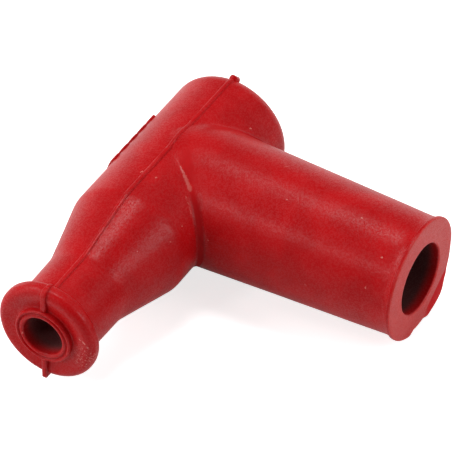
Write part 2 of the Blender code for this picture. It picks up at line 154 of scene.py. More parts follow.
boot = {
    "leadRadius": 0.00915,
    "endLength": bootHigh.x - crossing.x - 0.00025,  # the parting line stands 0.25 mm proud
    "endRounding": 0.0028,
    "barrelLength": 0.01425,
    "shoulderEase": 0.0006,  # length over which barrel and cone blend
    "coneEnd": 0.0250,
    "coneEndRadius": 0.00632,
    "coneFade": 0.0008,  # where the cone begins to ease into the neck, before its end
    "neckEase": ((-0.0003, 0.00009), (0.0004, -0.00001)),  # past the cone's end, and out
    "flangeBack": 0.0335,
    "neckRadius": 0.0062,
    "neckFillet": 0.0006,
    "flangeThickness": 0.00242,
    "flangeRadius": 0.0077,
    "flangeBackRounding": 0.0009,
    "flangeFrontRounding": 0.0011,
    "flangeDish": 0.00025,
    "dishMargin": 0.00025,  # from the dish's deepest ring to the collar
    "collarFront": crossing.x - bootLow.x,
    "collarRadius": 0.0044,
    "collarRounding": 0.00026,
    "collarFoot": (0.00008, 0.00006),  # small round where the collar leaves the dish
    "grooveOuter": 0.00412,  # shallow groove round the collar's face
    "grooveInner": 0.00355,
    "grooveDepth": 0.00026,
    "leadBoreRadius": 0.00307,
    "leadBoreRounding": 0.00035,
    "plugLength": crossing.y - bootLow.y,
    "plugRootRadius": 0.01017,
    "plugMouthRadius": 0.00877,
    "crownStart": 0.0045,  # the tube's root is crowned up to here
    "crownRadius": 0.015,
    "plugTail": 0.003,  # past the lead tube's axis
    "lipRadius": 0.0092,
    "lipThickness": 0.0006,
    "lipRounding": 0.00016,
    # the tube swells towards the lip: distance before the lip's back, and out
    "lipRise": ((0.0012, 0.0), (0.0007, 0.00005), (0.0003, 0.00014), (0.0001, 0.00023)),
    "plugBoreRadius": 0.0053,
    "plugBoreRounding": 0.00035,
    "cornerFillet": 0.00148,
    "filletSunk": 0.00002,  # both its edges go this far into the walls
    "filletBack": 1.2,  # depth of its back in the walls, as a share of its size
    "retainerGrip": 0.0003,
    "retainerLength": 0.0005,
    "retainerSlope": 0.0008,
    "ringStep": 0.0006,  # longest step between two rings of the mesh
    "tubeFacets": 168,
    "boreFacets": 120,
    "waveHeight": 0.00003,  # the moulding isn't perfectly true
    "waveLength": 0.006,
    "sharpAngle": 38,
}

# the hand-trimmed lip: angle in degrees seen from the mouth, 90 at the top, and reach past its radius
lipEdge = (
    (-108, 0.0), (-96, -0.0009), (-85, -0.0008), (-72, 0.00025), (-50, 0.00078),
    (-35, 0.0), (-25, -0.00042), (-8, -0.00045), (20, -0.00005), (35, 0.0),
)


def leadOutline():
    b = boot
    back, front = b["flangeBack"], b["flangeBack"] + b["flangeThickness"]
    backRounding, frontRounding = b["flangeBackRounding"], b["flangeFrontRounding"]
    rounding = b["endRounding"]
    outline = arcPoints(b["endLength"] - rounding, b["leadRadius"] - rounding, rounding, 0, 90, 18)
    slope = math.atan2(b["leadRadius"] - b["coneEndRadius"], b["coneEnd"] - b["barrelLength"])
    size = b["shoulderEase"] / math.tan(slope / 2)
    shoulder = -b["barrelLength"] + b["shoulderEase"]
    outline += arcPoints(shoulder, b["leadRadius"] - size, size, 90, 90 + math.degrees(slope), 6)
    outline.append((-b["coneEnd"] + b["coneFade"], b["coneEndRadius"] + b["coneFade"] * math.tan(slope)))
    for past, out in b["neckEase"]:
        outline.append((-b["coneEnd"] - past, b["coneEndRadius"] + out))
    fillet = b["neckFillet"]
    outline += arcPoints(-back + fillet, b["neckRadius"] + fillet, fillet, 270, 180, 8)
    outline += arcPoints(-back - backRounding, b["flangeRadius"] - backRounding, backRounding, 0, 90, 12)
    rim = b["flangeRadius"] - frontRounding
    outline += arcPoints(-front + frontRounding, rim, frontRounding, 90, 180, 14)
    foot = b["collarRadius"] + b["dishMargin"]
    for share in (0.15, 0.35, 0.55, 0.75, 0.9, 1.0):
        depth = b["flangeDish"] * (1 - math.cos(math.pi * share)) / 2
        outline.append((-front + depth, rim + (foot - rim) * share))
    lift, gap = b["collarFoot"]
    outline.append((-front + b["flangeDish"] - lift, b["collarRadius"] + gap))
    return outline


def collarOutline():
    b = boot
    face, rounding = -b["collarFront"], b["collarRounding"]
    outer, inner, depth = b["grooveOuter"], b["grooveInner"], b["grooveDepth"]
    outline = arcPoints(face + rounding, b["collarRadius"] - rounding, rounding, 90, 180, 6)
    steps = 9
    for step in range(1, steps + 1):
        share = step / steps
        sunk = depth * (1 - math.cos(math.tau * share)) / 2
        outline.append((face + sunk, outer + (inner - outer) * share))
    return outline


def plugRadius(distance):
    b = boot
    taper = (b["plugRootRadius"] - b["plugMouthRadius"]) / b["plugLength"]
    crown = max(0.0, b["crownStart"] - distance) ** 2 / (2 * b["crownRadius"])
    return b["plugRootRadius"] - taper * distance - crown


def plugOutline():
    b = boot
    outline = [(-b["plugTail"], 0.0)]
    crownSteps = 14
    for step in range(crownSteps + 1):
        distance = -b["plugTail"] + (b["crownStart"] + b["plugTail"]) * step / crownSteps
        outline.append((distance, plugRadius(distance)))
    lipBack = b["plugLength"] - b["lipThickness"]
    for before, out in b["lipRise"]:
        outline.append((lipBack - before, plugRadius(lipBack - before) + out))
    rounding = b["lipRounding"]
    outline += arcPoints(lipBack + rounding, b["lipRadius"] - rounding, rounding, 180, 90, 4)
    outline += arcPoints(b["plugLength"] - rounding, b["lipRadius"] - rounding, rounding, 90, 0, 4)
    return outline + [(b["plugLength"], 0.0)]


def lipReach(angle):
    for (start, low), (end, high) in zip(lipEdge, lipEdge[1:]):
        if start <= angle <= end:
            share = (angle - start) / (end - start)
            return low + (high - low) * share * share * (3 - 2 * share)
    return 0.0


def plugTube():
    b = boot
    bm = spinOutline(closeSpaced(plugOutline(), b["ringStep"]), b["tubeFacets"])
    lipBack = b["plugLength"] - b["lipThickness"]
    behind, inside = 0.00012, 0.0002  # the waves also move the rings just behind and inside the lip
    for vert in bm.verts:
        radius = math.hypot(vert.co.x, vert.co.y)
        if vert.co.z > lipBack - behind and radius > b["plugMouthRadius"] - inside:
            wanted = radius + lipReach(math.degrees(math.atan2(vert.co.y, vert.co.x)))
            if vert.co.z < b["plugLength"] - b["lipThickness"] / 2:
                wanted = max(wanted, plugRadius(vert.co.z))
            vert.co.x *= wanted / radius
            vert.co.y *= wanted / radius
    return bm


def cornerFillets():
    b = boot
    size = b["cornerFillet"]
    leadTrack = b["leadRadius"] + size
    sweep = math.asin(min(1.0, (plugRadius(0.0) + size) / leadTrack))
    sectionCount, arcCount = 96, 14
    bm = bmesh.new()
    for side in (-1, 1):
        sections = []
        for step in range(sectionCount + 1):
            angle = sweep * (2 * step / sectionCount - 1)
            y, z = -leadTrack * math.cos(angle), leadTrack * math.sin(angle)
            x = side * math.sqrt(max((plugRadius(-y) + size) ** 2 - z**2, 0.0))
            centre = Vector((x, y, z))
            toLeadWall = Vector((0, -y, -z)).normalized()
            toPlugWall = Vector((-x, 0, -z)).normalized()
            section = []
            for part in range(arcCount + 1):
                sunk = b["filletSunk"] if part in (0, arcCount) else 0.0
                section.append(centre + toLeadWall.slerp(toPlugWall, part / arcCount) * (size + sunk))
            section.append(centre + (toLeadWall + toPlugWall) * size * b["filletBack"])
            sections.append(section)
        extrudeThrough(bm, sections)
    return bm


marks = {
    "seamHalfWidth": 0.00037,
    "seamHeight": 0.00020,
    "seamSides": 12,
    "seamWander": 0.00003,
    "swayRate": 160,  # noise per metre that moves the ridge aside
    "swaySeed": 3.0,
    "riseRate": 240,  # and that which changes its height
    "riseSeed": 9.0,
    "ribWidth": 0.00088,
    "ribHeight": 0.00028,  # past the flange's own front and rim
    "ribTuck": 0.00004,  # its foot stays this far inside the collar's rounding
    "finWidth": 0.0008,
    "finHeight": 0.0005,  # past the flange's front
    "finDrop": 0.0002,  # and past its rim
    "nubWidth": 0.0015,
    "nubLength": 0.0017,
    "nubHeight": 0.0007,
    "nubRounding": 0.00066,
    "edgeRounding": 0.00022,
    "gripCount": 5,
    "gripPitch": 0.0024,
    "gripWidth": 0.0012,
    "gripHeight": 0.00037,
    "gripSpread": 70,  # degrees of the barrel's back
    "gripCentre": 0.0004,  # along the barrel, from the plug tube's axis
}


def seamRidge():
    # a rounded ridge swept over the lead tube's outline and across the plug tube's end
    b, m = boot, marks
    crown = plugRadius(0.0)
    upper = []
    for x, z in closeSpaced(leadOutline()[:-8], b["ringStep"]):  # all but the flange's dished front
        if abs(x) < crown:
            z = max(z, math.sqrt(max(crown**2 - x**2, 0.0)))
        upper.append((x, z))
    path = list(reversed(upper)) + [(x, -z) for x, z in upper]
    sections = []
    for index, (x, z) in enumerate(path):
        before, after = Vector(path[max(index - 1, 0)]), Vector(path[min(index + 1, len(path) - 1)])
        along = (after - before).normalized()
        outward = Vector((-along.y, along.x))
        sway = noise.noise(Vector((x * m["swayRate"], z * m["swayRate"], m["swaySeed"])))
        uneven = noise.noise(Vector((x * m["riseRate"], z * m["riseRate"], m["riseSeed"])))
        aside, rise = sway * m["seamWander"], m["seamHeight"] + uneven * m["seamWander"]
        section = []
        for part in range(m["seamSides"]):
            angle = math.tau * part / m["seamSides"]
            lift = outward * rise * math.sin(angle)
            section.append((x + lift.x, aside + m["seamHalfWidth"] * math.cos(angle), z + lift.y))
        sections.append(section)
    bm = bmesh.new()
    extrudeThrough(bm, sections)
    return bm


def flangeMarks():
    b, m = boot, marks
    front = b["flangeBack"] + b["flangeThickness"]
    inner = b["collarRadius"] - b["collarRounding"] - m["ribTuck"]
    middle = -front + b["flangeThickness"] / 2
    ribFront, ribTop = -front - m["ribHeight"], b["flangeRadius"] + m["ribHeight"]
    rounding = b["flangeFrontRounding"]
    rib = [(middle, inner), (middle, ribTop)]
    rib += arcPoints(ribFront + rounding, ribTop - rounding, rounding, 90, 180, 10)
    rib.append((ribFront, inner))
    finFront, finLow = -front - m["finHeight"], -b["flangeRadius"] - m["finDrop"]
    fin = [
        (middle, -inner),
        (finFront, -inner),
        (finFront, finLow + m["finDrop"]),
        (finFront + m["finDrop"], finLow),
        (middle, finLow),
    ]
    bm = bmesh.new()
    plate(bm, rib, m["ribWidth"])
    plate(bm, fin, m["finWidth"])
    roundEdges(bm, m["edgeRounding"], 3)
    return bm


def endNub():
    b, m = boot, marks
    corner = Vector((b["endLength"] - b["endRounding"], b["leadRadius"] - b["endRounding"]))
    outward = Vector((1, 1)).normalized()
    across = Vector((-outward.y, outward.x))
    half = m["nubLength"] / 2
    foot, head = b["endRounding"] - m["nubHeight"], b["endRounding"] + m["nubHeight"]
    shape = ((-half, foot), (half, foot), (half, head), (-half, head))
    bm = bmesh.new()
    plate(bm, [corner + across * along + outward * height for along, height in shape], m["nubWidth"])
    roundEdges(bm, m["nubRounding"], 6)
    return bm


def gripBars():
    b, m = boot, marks
    steps = 36
    inner, outer = b["leadRadius"] - m["gripHeight"], b["leadRadius"] + m["gripHeight"]
    bm = bmesh.new()
    for index in range(m["gripCount"]):
        middle = m["gripCentre"] + (index - (m["gripCount"] - 1) / 2) * m["gripPitch"]
        near, far = middle - m["gripWidth"] / 2, middle + m["gripWidth"] / 2
        sections = []
        for step in range(steps + 1):
            angle = math.radians(m["gripSpread"] * (step / steps - 0.5))
            y, z = math.cos(angle), math.sin(angle)
            corners = ((near, inner), (far, inner), (far, outer), (near, outer))
            sections.append([(x, y * radius, z * radius) for x, radius in corners])
        extrudeThrough(bm, sections)
    roundEdges(bm, m["edgeRounding"], 3)
    return bm


def plugCutter():
    b, t = boot, terminal
    pocket, gap = t["radius"] + t["clearance"], t["clearance"]
    pocketEnd = t["mouth"] + gap
    grip = t["radius"] - b["retainerGrip"]
    boreStart = pocketEnd + gap + b["retainerLength"] + b["retainerSlope"]
    rounding = b["plugBoreRounding"]
    edge = b["plugBoreRadius"] + rounding
    outline = [
        (-t["top"] - gap, 0.0),
        (-t["top"] - gap, pocket),
        (pocketEnd, pocket),
        (pocketEnd + gap, grip),
        (pocketEnd + gap + b["retainerLength"], grip),
        (boreStart, b["plugBoreRadius"]),
    ]
    outline += arcPoints(b["plugLength"] - rounding, edge, rounding, 270, 360, 8)
    past = b["plugLength"] + rounding
    return spinOutline(outline + [(past, edge), (past, 0.0)], b["boreFacets"])


def leadCutter():
    b, t = boot, terminal
    rounding = b["leadBoreRounding"]
    edge = b["leadBoreRadius"] + rounding
    outline = [(-t["socketRadius"], 0.0), (-t["socketRadius"], b["leadBoreRadius"])]
    outline += arcPoints(-b["collarFront"] + rounding, edge, rounding, 270, 180, 8)
    past = -b["collarFront"] - rounding
    return spinOutline(outline + [(past, edge), (past, 0.0)], b["boreFacets"])


def settle(mesh):
    # a slow waviness, so that highlights don't run dead straight
    b = boot
    moves = []
    for vert in mesh.vertices:
        place = vert.co / b["waveLength"]
        moves.append(vert.normal * noise.noise(place) * b["waveHeight"])
    for vert, move in zip(mesh.vertices, moves):
        vert.co += move


def makeBoot():
    b = boot
    outline = [(b["endLength"], 0.0)] + leadOutline() + collarOutline() + [(-b["collarFront"], 0.0)]
    leadTube = spinOutline(closeSpaced(outline, b["ringStep"]), b["tubeFacets"])
    solid = makeSolid("red_rubber_boot", leadTube, toLead)
    added = [
        makeSolid("plugTube", plugTube(), toPlug),
        makeSolid("cornerFillets", cornerFillets()),
        makeSolid("seamRidge", seamRidge()),
        makeSolid("flangeMarks", flangeMarks()),
        makeSolid("endNub", endNub()),
        makeSolid("gripBars", gripBars()),
    ]
    joinSolids(solid, added, "UNION")
    bores = [makeSolid("plugCutter", plugCutter(), toPlug), makeSolid("leadCutter", leadCutter(), toLead)]
    joinSolids(solid, bores, "DIFFERENCE")
    settle(solid.data)
    return finishPiece(solid, b["sharpAngle"])


terminal = {
    "radius": 0.0045,
    "top": 0.0029,  # head's end, past the lead tube's axis
    "mouth": crossing.y - terminalLow.y,
    "socketRadius": 0.00325,
    "socketDepth": 0.0095,
    "chamfer": 0.0005,
    "slotWidth": 0.0008,
    "slotDepth": 0.0062,
    "ringPlace": 0.0024,  # from the socket's mouth
    "grooveHalf": 0.0006,
    "grooveDepth": 0.00075,
    "holeRadius": 0.0018,
    "holeEnd": 0.0023,
    "clearance": 0.0003,
    "edgeRounding": 0.00007,
    "bevelAngle": 30,
    "sharpAngle": 35,
    "mergeDistance": 0.000001,
    "facets": 96,
}


def socketSlots():
    t = terminal
    reach, half = t["radius"] * 1.2, t["slotWidth"] / 2
    bm = bmesh.new()
    for turned in (False, True):
        corners = [(-reach, -half), (reach, -half), (reach, half), (-reach, half)]
        if turned:
            corners = [(-across, along) for along, across in corners]
        ends = (t["mouth"] - t["slotDepth"], t["mouth"] + t["clearance"])
        extrudeThrough(bm, [[(x, y, end) for x, y in corners] for end in ends])
    return bm


def makeTerminal():
    t = terminal
    radius, chamfer, half = t["radius"], t["chamfer"], t["grooveHalf"]
    ring, floor = t["mouth"] - t["ringPlace"], radius - t["grooveDepth"]
    end = t["mouth"] - t["socketDepth"]
    outline = [
        (-t["top"], 0.0),
        (-t["top"], radius - chamfer),
        (-t["top"] + chamfer, radius),
        (ring - half, radius),
        (ring - half, floor),
        (ring + half, floor),
        (ring + half, radius),
        (t["mouth"] - chamfer, radius),
        (t["mouth"], radius - chamfer),
        (t["mouth"], t["socketRadius"] + chamfer / 2),
        (t["mouth"] - chamfer / 2, t["socketRadius"]),
        (end, t["socketRadius"]),
        (end - t["socketRadius"] / 4, 0.0),  # the drill's cone
    ]
    piece = makeSolid("brass_terminal", spinOutline(outline, t["facets"]), toPlug)
    past = -radius - t["clearance"]
    hole = [(t["holeEnd"], 0.0), (t["holeEnd"], t["holeRadius"]), (past, t["holeRadius"]), (past, 0.0)]
    cutters = [
        makeSolid("screwHole", spinOutline(hole, t["facets"]), toLead),
        makeSolid("socketSlots", socketSlots(), toPlug),
    ]
    joinSolids(piece, cutters, "DIFFERENCE")
    bm = bmesh.new()
    bm.from_mesh(piece.data)
    bmesh.ops.remove_doubles(bm, verts=bm.verts, dist=t["mergeDistance"])
    roundEdges(bm, t["edgeRounding"], 2, t["bevelAngle"])
    bm.to_mesh(piece.data)
    bm.free()
    return finishPiece(piece, t["sharpAngle"])


screw = {
    "shankRadius": 0.0015,
    "shankEnd": screwHigh.x - crossing.x,
    "collarBack": -0.0048,
    "collarRadius": 0.00227,
    "collarLength": 0.0008,
    "collarRounding": 0.00015,
    "tip": screwLow.x - crossing.x,
    "pointLength": 0.0032,
    "threadRadius": 0.0016,
    "rootRadius": 0.0011,
    "pitch": 0.0012,
    "crestShare": 0.625,  # of the pitch, at the thread's foot
    "tipShare": 0.02,  # of the root's radius, left at the very point
    "sharpAngle": 35,
    "facets": 40,
    "ringsPerTurn": 16,
}


def threadRadius(distance, angle, length):
    c = screw
    turn = (distance / c["pitch"] - angle / math.tau) % 1.0
    crest = max(0.0, 1.0 - abs(turn - 0.5) * 2 / c["crestShare"])
    radius = c["rootRadius"] + (c["threadRadius"] - c["rootRadius"]) * crest
    return radius * min(1.0, (length - distance) / c["pointLength"])


def makeScrew():
    c = screw
    start = c["collarBack"] - c["collarLength"]
    length = start - c["tip"]
    rounding = c["collarRounding"]
    plain = [(c["shankEnd"], c["shankRadius"] - rounding), (c["shankEnd"] - rounding, c["shankRadius"])]
    plain.append((c["collarBack"], c["shankRadius"]))
    plain += arcPoints(c["collarBack"] - rounding, c["collarRadius"] - rounding, rounding, 0, 90, 4)
    plain += arcPoints(start + rounding, c["collarRadius"] - rounding, rounding, 90, 180, 4)
    angles = [math.tau * index / c["facets"] for index in range(c["facets"])]
    sections = [[(x, radius * math.cos(a), radius * math.sin(a)) for a in angles] for x, radius in plain]
    ringCount = round(length / c["pitch"] * c["ringsPerTurn"])
    for ring in range(ringCount):
        distance = length * ring / ringCount
        section = []
        for a in angles:
            radius = threadRadius(distance, a, length)
            section.append((start - distance, radius * math.cos(a), radius * math.sin(a)))
        sections.append(section)
    tip = c["rootRadius"] * c["tipShare"]
    sections.append([(c["tip"], tip * math.cos(a), tip * math.sin(a)) for a in angles])
    bm = bmesh.new()
    extrudeThrough(bm, sections)
    return finishPiece(makeSolid("lead_wood_screw", bm), c["sharpAngle"])


snapRing = {
    "wire": 0.0003,  # radius
    "track": 0.00425,  # from the plug tube's axis to the wire's middle
    "gap": 50,  # degrees left open at the top
    "endAngles": (12, 30, 55),  # rings that round off the wire's ends
    "sharpAngle": 50,
    "steps": 90,
    "sides": 16,
}


def makeSnapRing():
    r, t = snapRing, terminal
    along = t["ringPlace"] - t["mouth"]
    sections = []
    span = 360 - r["gap"]
    endSpan = math.degrees(r["wire"] / r["track"])
    ends = [math.radians(angle) for angle in r["endAngles"]]
    stations = [(-endSpan * math.cos(a), math.sin(a)) for a in ends]
    stations += [(span * step / r["steps"], 1.0) for step in range(r["steps"] + 1)]
    stations += [(span + endSpan * math.cos(a), math.sin(a)) for a in reversed(ends)]
    for turn, share in stations:
        around = math.radians(90 + r["gap"] / 2 + turn)
        section = []
        for side in range(r["sides"]):
            angle = math.tau * side / r["sides"]
            radius = r["track"] + r["wire"] * share * math.cos(angle)
            height = r["wire"] * share * math.sin(angle)
            section.append((radius * math.cos(around), along + height, radius * math.sin(around)))
        sections.append(section)
    bm = bmesh.new()
    extrudeThrough(bm, sections)
    return finishPiece(makeSolid("steel_snap_ring", bm), r["sharpAngle"])


camera = {
    "place": Vector((-0.38347, -0.23359, 0.39842)),  # from the crossing of the axes
    "azimuth": -149.484,  # degrees, of the direction back from the view
    "elevation": 42.151,
    "roll": 0.106,
    "lens": 336.9,
    "sensorWidth": 36,
    "clip": (0.01, 10),
}


def makeCamera():
    c = camera
    lens = bpy.data.cameras.new("camera")
    lens.lens = c["lens"]
    lens.sensor_width = c["sensorWidth"]
    lens.clip_start, lens.clip_end = c["clip"]
    view = addObject("camera", lens)
    turn = Matrix.Rotation(math.radians(c["azimuth"] + 90), 4, "Z")
    turn @= Matrix.Rotation(math.radians(90 - c["elevation"]), 4, "X")
    turn @= Matrix.Rotation(math.radians(c["roll"]), 4, "Z")
    view.matrix_world = Matrix.Translation(crossing + c["place"]) @ turn
    bpy.context.scene.camera = view


def startGroup(name, inputs, outputs):
    tree = bpy.data.node_groups.new(name, "ShaderNodeTree")
    for label, kind in inputs:
        tree.interface.new_socket(name=label, in_out="INPUT", socket_type=kind)
    for label, kind in outputs:
        tree.interface.new_socket(name=label, in_out="OUTPUT", socket_type=kind)
    return tree, tree.nodes.new("NodeGroupInput"), tree.nodes.new("NodeGroupOutput")


def wire(tree, target, value):
    # a socket is linked, anything else is set as the target's own value
    if isinstance(value, bpy.types.NodeSocket):
        tree.links.new(value, target)
    else:
        target.default_value = value


def maths(tree, operation, first, second=0.0, clamp=False):
    node = tree.nodes.new("ShaderNodeMath")
    node.operation = operation
    node.use_clamp = clamp
    wire(tree, node.inputs[0], first)
    wire(tree, node.inputs[1], second)
    return node.outputs[0]


def times(tree, first, second):
    return maths(tree, "MULTIPLY", first, second)


def minus(tree, first, second):
    return maths(tree, "SUBTRACT", first, second)


def vectorMaths(tree, operation, first, second, output="Vector"):
    node = tree.nodes.new("ShaderNodeVectorMath")
    node.operation = operation
    wire(tree, node.inputs[0], first)
    wire(tree, node.inputs["Scale" if operation == "SCALE" else 1], second)
    return node.outputs[output]


def noiseAt(tree, position, scale, detail=2.0, roughness=0.5):
    node = tree.nodes.new("ShaderNodeTexNoise")
    wire(tree, node.inputs["Vector"], position)
    wire(tree, node.inputs["Scale"], scale)
    node.inputs["Detail"].default_value = detail
    node.inputs["Roughness"].default_value = roughness
    return node.outputs["Fac"]


def ramp(tree, value, low, high, start=0.0, end=1.0):
    node = tree.nodes.new("ShaderNodeMapRange")
    node.interpolation_type = "SMOOTHSTEP"
    wire(tree, node.inputs["Value"], value)
    node.inputs["From Min"].default_value = low
    node.inputs["From Max"].default_value = high
    node.inputs["To Min"].default_value = start
    node.inputs["To Max"].default_value = end
    return node.outputs["Result"]


def mixColours(tree, share, first, second):
    node = tree.nodes.new("ShaderNodeMix")
    node.data_type = "RGBA"
    wire(tree, node.inputs[0], share)
    wire(tree, node.inputs[6], first)
    wire(tree, node.inputs[7], second)
    return node.outputs[2]


def splitAxes(tree, position):
    node = tree.nodes.new("ShaderNodeSeparateXYZ")
    wire(tree, node.inputs[0], position)
    return node.outputs


def newMaterial(name):
    material = bpy.data.materials.new(name)
    material.use_nodes = True
    return material, material.node_tree, material.node_tree.nodes["Principled BSDF"]


def addBump(tree, shader, height, distance):
    bump = tree.nodes.new("ShaderNodeBump")
    bump.inputs["Distance"].default_value = distance
    wire(tree, bump.inputs["Height"], height)
    wire(tree, shader.inputs["Normal"], bump.outputs["Normal"])


def useGroup(tree, group, **values):
    node = tree.nodes.new("ShaderNodeGroup")
    node.node_tree = group
    for label, value in values.items():
        wire(tree, node.inputs[label], value)
    return node


mouldSkin = {
    "coarser": 0.45,  # fineness of the large bumps, as a share of the small ones'
    "smallShare": 0.7,
    "largeShare": 0.3,
    "fleckEdge": (0.44, 0.57),  # heights between which a bump becomes a fleck
}


def makeMouldGrain():
    # fine uneven skin that a sparked mould leaves: bumps, and the flecks where they shine
    m = mouldSkin
    tree, entry, leave = startGroup(
        "mouldGrain",
        (("Position", "NodeSocketVector"), ("Fineness", "NodeSocketFloat")),
        (("Height", "NodeSocketFloat"), ("Mottle", "NodeSocketFloat")),
    )
    position, fineness = entry.outputs["Position"], entry.outputs["Fineness"]
    small = noiseAt(tree, position, fineness, 3.0, 0.6)
    large = noiseAt(tree, position, times(tree, fineness, m["coarser"]), 2.0)
    height = maths(tree, "ADD", times(tree, small, m["smallShare"]), times(tree, large, m["largeShare"]))
    wire(tree, leave.inputs["Height"], height)
    wire(tree, leave.inputs["Mottle"], ramp(tree, height, *m["fleckEdge"]))
    return tree


def makeDustSpecks():
    # few pale grains: small cells' middles, kept only where the cell's own random tone is low
    tree, entry, leave = startGroup(
        "dustSpecks",
        (
            ("Position", "NodeSocketVector"),
            ("Spacing", "NodeSocketFloat"),
            ("Size", "NodeSocketFloat"),
            ("Share", "NodeSocketFloat"),
        ),
        (("Specks", "NodeSocketFloat"),),
    )
    cells = tree.nodes.new("ShaderNodeTexVoronoi")
    wire(tree, cells.inputs["Vector"], entry.outputs["Position"])
    wire(tree, cells.inputs["Scale"], maths(tree, "DIVIDE", 1.0, entry.outputs["Spacing"]))
    tone = tree.nodes.new("ShaderNodeSeparateColor")
    wire(tree, tone.inputs[0], cells.outputs["Color"])
    smallest, softEdge = 0.5, 0.4
    reach = times(tree, entry.outputs["Size"], maths(tree, "ADD", smallest, tone.outputs[1]))
    far = times(tree, cells.outputs["Distance"], entry.outputs["Spacing"])
    near = maths(tree, "SUBTRACT", 1.0, maths(tree, "DIVIDE", far, reach), clamp=True)
    kept = maths(tree, "LESS_THAN", tone.outputs[0], entry.outputs["Share"])
    wire(tree, leave.inputs["Specks"], times(tree, ramp(tree, near, 0.0, softEdge), kept))
    return tree


def makeShortMark():
    # a soft-edged line between two points, or a dot where both are the same
    tree, entry, leave = startGroup(
        "shortMark",
        (
            ("Position", "NodeSocketVector"),
            ("Start", "NodeSocketVector"),
            ("End", "NodeSocketVector"),
            ("Width", "NodeSocketFloat"),
        ),
        (("Mask", "NodeSocketFloat"),),
    )
    leastLength, softEdge = 1e-12, 0.6  # the first keeps a dot from dividing by zero
    position, start = entry.outputs["Position"], entry.outputs["Start"]
    along = vectorMaths(tree, "SUBTRACT", entry.outputs["End"], start)
    reach = vectorMaths(tree, "SUBTRACT", position, start)
    whole = maths(tree, "MAXIMUM", vectorMaths(tree, "DOT_PRODUCT", along, along, "Value"), leastLength)
    passed = vectorMaths(tree, "DOT_PRODUCT", reach, along, "Value")
    share = maths(tree, "DIVIDE", passed, whole, clamp=True)
    nearest = vectorMaths(tree, "ADD", start, vectorMaths(tree, "SCALE", along, share))
    far = vectorMaths(tree, "DISTANCE", position, nearest, "Value")
    near = maths(tree, "SUBTRACT", 1.0, maths(tree, "DIVIDE", far, entry.outputs["Width"]), clamp=True)
    wire(tree, leave.inputs["Mask"], ramp(tree, near, 0.0, softEdge))
    return tree


mouldGrain = makeMouldGrain()
dustSpecks = makeDustSpecks()
shortMark = makeShortMark()

silicone = {
    "red": (0.48, 0.0048, 0.0068, 1),
    "deepRed": (0.42, 0.0032, 0.0050, 1),
    "driftScale": 220.0,  # slow drift between the two reds
    "driftEdge": (0.35, 0.65),
    # one pale colour for dust specks, scratches and painted glints
    "dustAndGlint": (0.64, 0.20, 0.17, 1),
    "chalk": (0.64, 0.16, 0.14, 1),
    "cutFace": (0.60, 0.034, 0.031, 1),
    "stripTone": (0.60, 0.0050, 0.0090, 1),
    # painted shade in the inner corner's fillet
    "cornerShadeTone": (0.34, 0.0028, 0.0044, 1),
    # painted shade inside the two bores
    "plugBoreShadeTone": (0.078, 0.024, 0.024, 1),
    "leadBoreShadeTone": (0.170, 0.052, 0.052, 1),
    "roughness": 0.335,
    "roughnessSpread": 0.05,
    "dullRoughness": 0.62,  # in the inner corner and on the uncut strip
    "specular": 0.080,
    "fleckGloss": 0.365,  # the coat's weight on the grain's tops
    "grainFineness": 5200.0,
    "grainHeight": 0.000045,
    "raggedness": 0.00055,  # how far the edges of marks wander
    "raggedScale": 3200.0,
    "speckSpacing": 0.0036,
    "speckSize": 0.00012,
    "speckShare": 0.14,
    "scuffPlace": Vector((-0.0355, -0.0062, -0.0014)),
    "scuffReach": 0.0026,
    "scuffScale": 2600.0,
    "scuffEdge": (0.53, 0.63),
    "scuffStrength": 0.70,
    "endEdge": (0.0002, 0.0001),  # before the plug tube's end
    "cutScale": 900.0,
    "cutEdge": (0.2, 0.7),
    "cutShare": (0.7, 1.0),
    "stripAcross": 0.536,  # the strip lies low on the right of the mouth: shares of X and of -Z
    "stripDown": 0.845,
    "stripEdge": (0.0071, 0.0074),
    "stripFade": (0.0008, 0.0034),
    "boreEdge": (0.0003, 0.0001),  # past a bore's radius
    "boreEnd": (0.0015, 0.003),  # inside the outer wall across from its mouth
    "plugBoreFade": (0.0001, 0.0020),  # behind its mouth
    "leadBoreFade": (0.0001, 0.0024),
    "cornerPlace": 0.0095,  # along the plug tube
    "cornerOuter": (1.0, 0.5),  # the fillet's soft middle: shares of its size, and off the walls
    "cornerInner": (0.00004, 0.0002),
    "filletOuter": (0.97, 0.86),  # and nearly all of it
    "filletInner": (0.00002, 0.00006),
    "cornerShadeEdge": (0.0078, 0.0050),  # heights between which the painted shade in the corner grows darker
}
